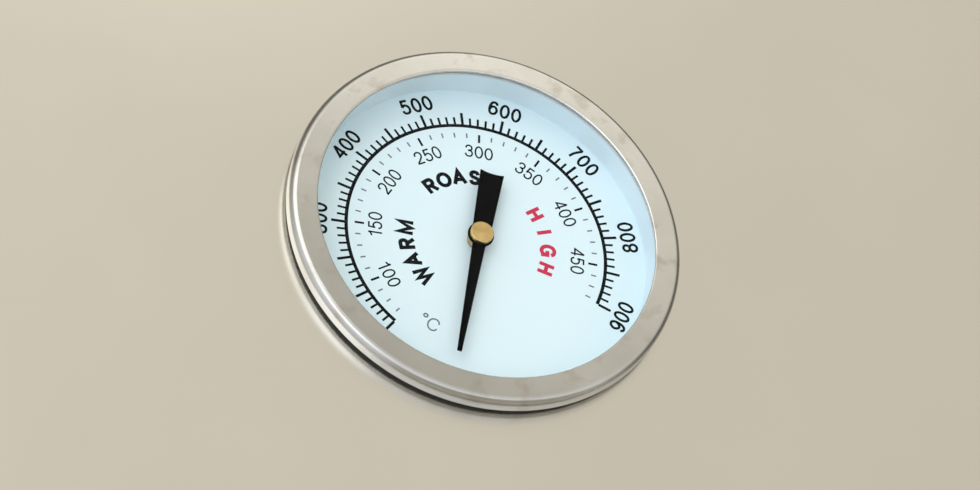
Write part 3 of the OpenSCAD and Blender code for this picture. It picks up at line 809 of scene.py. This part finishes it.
def leaves_circle(radius, start, end):
    """Where a straight edge from start to end leaves a circle round the origin."""
    dx, dy = end[0] - start[0], end[1] - start[1]
    a = dx * dx + dy * dy
    b = 2 * (start[0] * dx + start[1] * dy)
    c = start[0] ** 2 + start[1] ** 2 - radius ** 2
    t = (-b + sqrt(b * b - 4 * a * c)) / (2 * a)
    return start[0] + dx * t, start[1] + dy * t


def pointer_outline(size):
    """Outline of needle, round hub and flared tail with a hollow end. The needle points along +Y."""
    hub, half, deep = size.hub_radius, size.tail_end / 2, size.tail_hollow
    hub_steps, hollow_steps = 24, 12
    tip, corner = (size.needle_tip / 2, size.needle_reach), (half, -size.tail_reach)
    needle = leaves_circle(hub, (size.needle_root / 2, 0), tip)
    tail = leaves_circle(hub, (size.tail_root / 2, 0), corner)
    start, stop = atan2(needle[1], needle[0]), atan2(tail[1], tail[0])
    turns = [start + (stop - start) * i / hub_steps for i in range(1, hub_steps)]
    right = [tip, needle] + [(hub * cos(t), hub * sin(t)) for t in turns] + [tail, corner]
    hollow_r = (half * half + deep * deep) / (2 * deep)
    across = [half - 2 * half * i / hollow_steps for i in range(1, hollow_steps)]
    hollow = [(x, -size.tail_reach + sqrt(hollow_r ** 2 - x * x) - hollow_r + deep) for x in across]
    return right + hollow + [(-x, y) for x, y in reversed(right)]


class GAUGE_OT_pointer(bpy.types.Operator):
    """Black pointer, brass button and brass bush"""

    bl_idname = "gauge.pointer"
    bl_label = "Pointer"

    def execute(self, context):
        size = context.scene.gauge_shape
        colours = context.scene.gauge_colours
        hole_steps = 32
        turns = [2 * pi * i / hole_steps for i in range(hole_steps)]
        hole = [(BORE_R * cos(t), BORE_R * sin(t)) for t in turns]
        mesh = plate("pointer_sheet", [pointer_outline(size), hole],
                     thickness=POINTER_BACK - POINTER_FRONT, bevel=0.05 * MM)
        mesh.transform(Matrix.Translation((0, (POINTER_FRONT + POINTER_BACK) / 2, 0))
                       @ Matrix.Rotation(size.pointer_angle, 4, "Y") @ Matrix.Rotation(radians(90), 4, "X"))
        sheet = piece_from_mesh("pointer_sheet", mesh)
        dress(sheet, black_lacquer(colours), "needle", "pointer_black", "pointer")

        # The button's face has a shallow mark in the middle, then the tool's rings out to a rounded edge.
        ring_depth, edge, hole_end = 0.012 * MM, 0.17 * MM, POINTER_FRONT - 0.5 * MM
        mark_r, mark_middle, mark_rim = 0.25 * MM, 0.05 * MM, 0.03 * MM
        rings, first_ring, ring_span = 14, 0.14, 0.72
        face = [(0.0, CAP_FRONT + mark_middle), (mark_r, CAP_FRONT + mark_rim)]
        for i in range(1, rings + 1):
            r = CAP_R * (first_ring + ring_span * i / rings)
            face.append((r, CAP_FRONT + (ring_depth if i % 2 else 0.0)))
        face += arc(CAP_R - edge, CAP_FRONT + edge, edge, -90, 0, 6)
        face += [(CAP_R, POINTER_FRONT), (BORE_R, POINTER_FRONT), (BORE_R, hole_end), (0.0, hole_end)]
        button = lathed("pointer_button", face, steps=96, closed=False)
        dress(button, turned_brass(colours, "brass_turned_bright", "#B28C50", 0.30), "needle",
              "turned_brass", "pointer_cap")
        carry(turned_brass(colours, "brass_turned_dull", "#8A6A38", 0.36), "pointer_bush", "coil_collar")
        return {"FINISHED"}


class GAUGE_OT_movement(bpy.types.Operator):
    """Spindle, bearings and bimetal strip"""

    bl_idname = "gauge.movement"
    bl_label = "Movement"

    def execute(self, context):
        colours = context.scene.gauge_colours
        carry(turned_brass(colours, "brass_turned_bearing", "#A8834A", 0.33), "front_bearing", "stem_guide")
        carry(drawn_stainless(colours, "stainless_steel_drawn_rod", 0.2, 0.3), "spindle")
        carry(rolled_bimetal(colours), "bimetal_coil")
        return {"FINISHED"}


class GAUGE_OT_stem(bpy.types.Operator):
    """Probe stem, threaded fitting, seal and jam nut"""

    bl_idname = "gauge.stem"
    bl_label = "Stem and fitting"

    def execute(self, context):
        size = context.scene.gauge_shape
        colours = context.scene.gauge_colours
        polished = drawn_stainless(colours, "stainless_steel_polished_tube", 0.14, 0.26)
        carry(polished, "stem_tube", "stem_plug")
        carry(pressed_fibre(colours), "fitting_seal")
        turned = drawn_stainless(colours, "stainless_steel_turned", 0.24, 0.36)

        crest, pitch, start = size.thread_radius, size.thread_pitch, size.thread_start
        depth, run_out = THREAD_DEPTH * pitch, 0.5 * pitch

        def thread(r, y, turn):
            """Cuts the helix into the shank, shallow where it starts and turned down where it ends."""
            if r < crest - TINY or y < start:
                return r
            ends = min(1.0, (y - start) / pitch, (THREAD_END - y) / run_out)
            wave = ((y - start) / pitch - turn / (2 * pi)) % 1.0
            flank = min(1.0, max(0.0, (abs(wave - 0.5) - ROOT_FLAT) / FLANK))
            cut = depth * (1 - flank) * max(0.0, ends)
            return r - max(cut, depth * max(0.0, 1 - (THREAD_END - y) / run_out))

        edge = 0.25 * MM
        outline = [(FITTING_BORE_R, THREAD_END), (FITTING_BORE_R, FITTING_FRONT)]
        outline += arc(FITTING_FLANGE_R - edge, FITTING_FRONT + edge, edge, -90, 0, 4)
        outline += arc(FITTING_FLANGE_R - edge, size.flange_back - edge, edge, 0, 90, 4)
        outline += [(crest, size.flange_back)]
        rows = round((THREAD_END - start) / pitch * ROWS_PER_TURN)
        outline += [(crest, start + (THREAD_END - start) * i / rows) for i in range(rows + 1)]
        fitting = lathed("threaded_fitting", outline, steps=72, shape=thread)
        dress(fitting, turned, "gauge", "fitting_steel", "stem_fitting")
        nut = softened("jam_nut", "hexagon_jam_nut", width=0.3 * MM)
        dress(nut, turned, "gauge", "fitting_steel", "jam_nut")
        return {"FINISHED"}


class GAUGE_OT_clamp(bpy.types.Operator):
    """Clamp bridge and its washers"""

    bl_idname = "gauge.clamp"
    bl_label = "Clamp"

    def execute(self, context):
        plated = zinc_plated(context.scene.gauge_colours)
        for node, name, edge_mm in (("clamp_bracket", "clamp_bridge", 0.25),
                                    ("flat_washer", "plain_washer", 0.25),
                                    ("spring_washer", "split_washer", 0.2)):
            piece = softened(node, name, edge_mm * MM)
            dress(piece, plated, "clamp", "zinc_plate", node)
        return {"FINISHED"}


class GAUGE_OT_wing_nut(bpy.types.Operator):
    """Wing nut"""

    bl_idname = "gauge.wing_nut"
    bl_label = "Wing nut"

    def execute(self, context):
        piece = forged("wing_nut", "winged_nut", grid=0.2 * MM, passes=50, kept=0.3)
        dress(piece, zinc_plated(context.scene.gauge_colours), "nut", "zinc_plate", "wing_nut")
        return {"FINISHED"}


class GAUGE_OT_stage(bpy.types.Operator):
    """Board, floor, light and camera"""

    bl_idname = "gauge.stage"
    bl_label = "Stage"

    def board(self, stage):
        """Plain board round the cut-out. From behind it is clear, so the back of the gauge stays in view."""
        bm = bmesh.new()
        steps = 128
        # A hair in front of the gasket's back, because two faces in one plane render black from behind.
        sheet_y = -0.02 * MM
        inner, outer = [], []
        for i in range(steps):
            turn = 2 * pi * i / steps
            x, z = sin(turn), cos(turn)
            far = BOARD_REACH / max(abs(x), abs(z))
            inner.append(bm.verts.new((CUTOUT_R * x, sheet_y, CUTOUT_R * z)))
            outer.append(bm.verts.new((far * x, sheet_y, far * z)))
        for i in range(steps):
            bm.faces.new((inner[i - 1], outer[i - 1], outer[i], inner[i]))
        piece = piece_from_bmesh("board", bm)
        if piece.data.polygons[0].normal.y > 0:
            piece.data.flip_normals()
        finish, tree, place = new_finish("board_satin_steel")
        cloud = add(tree, "ShaderNodeTexNoise", {"Vector": place, "Scale": 1 / (60 * MM), "Detail": 3.0})
        front = add(tree, "ShaderNodeBsdfPrincipled", {
            "Base Color": add(tree, "ShaderNodeMix", {0: cloud, 6: linear("#D9D6CF"), 7: linear(stage.board)},
                              data_type="RGBA"),
            "Metallic": 1.0,
            "Roughness": add(tree, "ShaderNodeMapRange", {"Value": cloud, "To Min": 0.20, "To Max": 0.26}),
        })
        back = add(tree, "ShaderNodeBsdfTransparent")
        side = add(tree, "ShaderNodeNewGeometry")
        both = add(tree, "ShaderNodeMixShader", {0: side.outputs["Backfacing"], 1: front, 2: back})
        add(tree, "ShaderNodeOutputMaterial", {"Surface": both})
        piece.data.materials.append(finish)

    def floor(self, stage):
        """Plain pale floor, as far below the gauge as the ground is below a grill's hood."""
        bm = bmesh.new()
        corners = ((-1, -1), (1, -1), (1, 1), (-1, 1))
        bm.faces.new([bm.verts.new((FLOOR_REACH * x, FLOOR_REACH * y, -FLOOR_DEPTH)) for x, y in corners])
        piece = piece_from_bmesh("floor", bm)
        finish, tree, place = new_finish("floor_matte_painted")
        cloud = add(tree, "ShaderNodeTexNoise", {"Vector": place, "Scale": 1 / (200 * MM), "Detail": 3.0})
        shader = add(tree, "ShaderNodeBsdfPrincipled", {
            "Base Color": add(tree, "ShaderNodeMix", {0: cloud, 6: linear("#E7E3DB"), 7: linear(stage.floor)},
                              data_type="RGBA"),
            "Roughness": 0.8,
        })
        add(tree, "ShaderNodeOutputMaterial", {"Surface": shader})
        piece.data.materials.append(finish)

    def lamp(self, name, place, aim, size, power, hex_code):
        """A soft rectangular lamp."""
        light = bpy.data.lights.new(name, "AREA")
        light.shape = "RECTANGLE"
        light.size, light.size_y = size
        light.energy = power
        light.color = linear(hex_code)[:3]
        lamp = bpy.data.objects.new(name, light)
        lamp.location = place
        lamp.rotation_euler = (Vector(aim) - Vector(place)).to_track_quat("-Z", "Y").to_euler()
        lamp.visible_camera = False
        bpy.context.scene.collection.objects.link(lamp)

    def surround(self, stage):
        """Light from all round, warm at the upper right and whiter to the lower left.

        One soft bright patch is at the left. Beside the board it is darker than in front and behind, as in a
        booth with open sides.
        """
        white_side, patch_side = (-0.656, 0, -0.755), (-0.58, -0.813, -0.05)
        world = bpy.data.worlds.new("surround")
        world.use_nodes = True
        tree = world.node_tree
        tree.nodes.clear()
        toward = add(tree, "ShaderNodeTexCoord").outputs["Generated"]
        lean = add(tree, "ShaderNodeVectorMath", {0: toward, 1: white_side}, operation="DOT_PRODUCT")
        glow = add(tree, "ShaderNodeMapRange",
                   {"Value": lean.outputs["Value"], "From Min": -0.5, "From Max": 0.3})
        tint = add(tree, "ShaderNodeMix", {0: glow, 6: linear(stage.sky), 7: linear(stage.window)},
                   data_type="RGBA")
        rise = add(tree, "ShaderNodeMapRange", {"Value": glow, "To Min": 0.82, "To Max": 1.26})
        near = add(tree, "ShaderNodeVectorMath", {0: toward, 1: patch_side}, operation="DOT_PRODUCT")
        patch = add(tree, "ShaderNodeMapRange",
                    {"Value": near.outputs["Value"], "From Min": 0.95, "From Max": 0.985, "To Max": 1.5},
                    interpolation_type="SMOOTHSTEP")
        bright = add(tree, "ShaderNodeMath", {0: rise, 1: patch}, operation="ADD")
        axes = add(tree, "ShaderNodeSeparateXYZ", {0: toward})
        ahead = add(tree, "ShaderNodeMath", {0: axes.outputs["Y"]}, operation="ABSOLUTE")
        dim = add(tree, "ShaderNodeMapRange", {"Value": glow, "To Min": 0.12, "To Max": 0.75})
        open_side = add(tree, "ShaderNodeMapRange",
                        {"Value": ahead, "From Min": 0.2, "From Max": 0.55, "To Min": dim, "To Max": 1.0})
        level = add(tree, "ShaderNodeMath", {0: bright, 1: open_side}, operation="MULTIPLY")
        sky = add(tree, "ShaderNodeBackground", {"Color": tint, "Strength": level})
        add(tree, "ShaderNodeOutputWorld", {"Surface": sky})
        bpy.context.scene.world = world

    def camera(self, stage):
        """Camera at the photograph's angle."""
        eye = bpy.data.cameras.new("camera")
        eye.lens = stage.lens
        eye.sensor_width = 36.0
        eye.clip_start = 0.01
        camera = bpy.data.objects.new("camera", eye)
        look = (Vector(stage.camera_aim) - Vector(stage.camera_at)).to_track_quat("-Z", "Y")
        camera.matrix_world = (Matrix.Translation(stage.camera_at) @ look.to_matrix().to_4x4()
                               @ Matrix.Rotation(-stage.camera_roll, 4, "Z"))
        bpy.context.scene.collection.objects.link(camera)
        bpy.context.scene.camera = camera

    def execute(self, context):
        stage = context.scene.gauge_stage
        self.board(stage)
        self.floor(stage)
        for row in LAMPS:
            self.lamp(*row)
        self.surround(stage)
        self.camera(stage)
        context.scene.view_settings.view_transform = "Standard"
        return {"FINISHED"}


GROUPS = (("gauge_shape", GaugeShape), ("gauge_print", GaugePrint), ("gauge_colours", GaugeColours),
          ("gauge_stage", GaugeStage))
OPERATORS = (GAUGE_OT_bezel, GAUGE_OT_case, GAUGE_OT_dial, GAUGE_OT_pointer, GAUGE_OT_movement, GAUGE_OT_stem,
             GAUGE_OT_clamp, GAUGE_OT_wing_nut, GAUGE_OT_stage)


class GAUGE_PT_sidebar(bpy.types.Panel):
    """Lists the gauge's pieces"""

    bl_label = "Grill hood thermometer"
    bl_idname = "GAUGE_PT_sidebar"
    bl_space_type = "VIEW_3D"
    bl_region_type = "UI"
    bl_category = "Gauge"

    def draw(self, context):
        for name, _ in GROUPS:
            group = getattr(context.scene, name)
            for key in group.bl_rna.properties.keys():
                if key not in ("rna_type", "name"):
                    self.layout.prop(group, key)
        for operator in OPERATORS:
            self.layout.operator(operator.bl_idname)


def register():
    """Registers the settings, the operators and the panel."""
    for name, group in GROUPS:
        bpy.utils.register_class(group)
        setattr(bpy.types.Scene, name, PointerProperty(type=group))
    for operator in OPERATORS:
        bpy.utils.register_class(operator)
    bpy.utils.register_class(GAUGE_PT_sidebar)


def unregister():
    """Takes the panel, the operators and the settings out again."""
    bpy.utils.unregister_class(GAUGE_PT_sidebar)
    for operator in reversed(OPERATORS):
        bpy.utils.unregister_class(operator)
    for name, group in reversed(GROUPS):
        delattr(bpy.types.Scene, name)
        bpy.utils.unregister_class(group)


def main():
    """Builds the pieces in order."""
    register()
    bpy.ops.gauge.bezel()
    bpy.ops.gauge.case()
    bpy.ops.gauge.dial()
    bpy.ops.gauge.pointer()
    bpy.ops.gauge.movement()
    bpy.ops.gauge.stem()
    bpy.ops.gauge.clamp()
    bpy.ops.gauge.wing_nut()
    bpy.ops.gauge.stage()


if __name__ == "__main__":
    main()
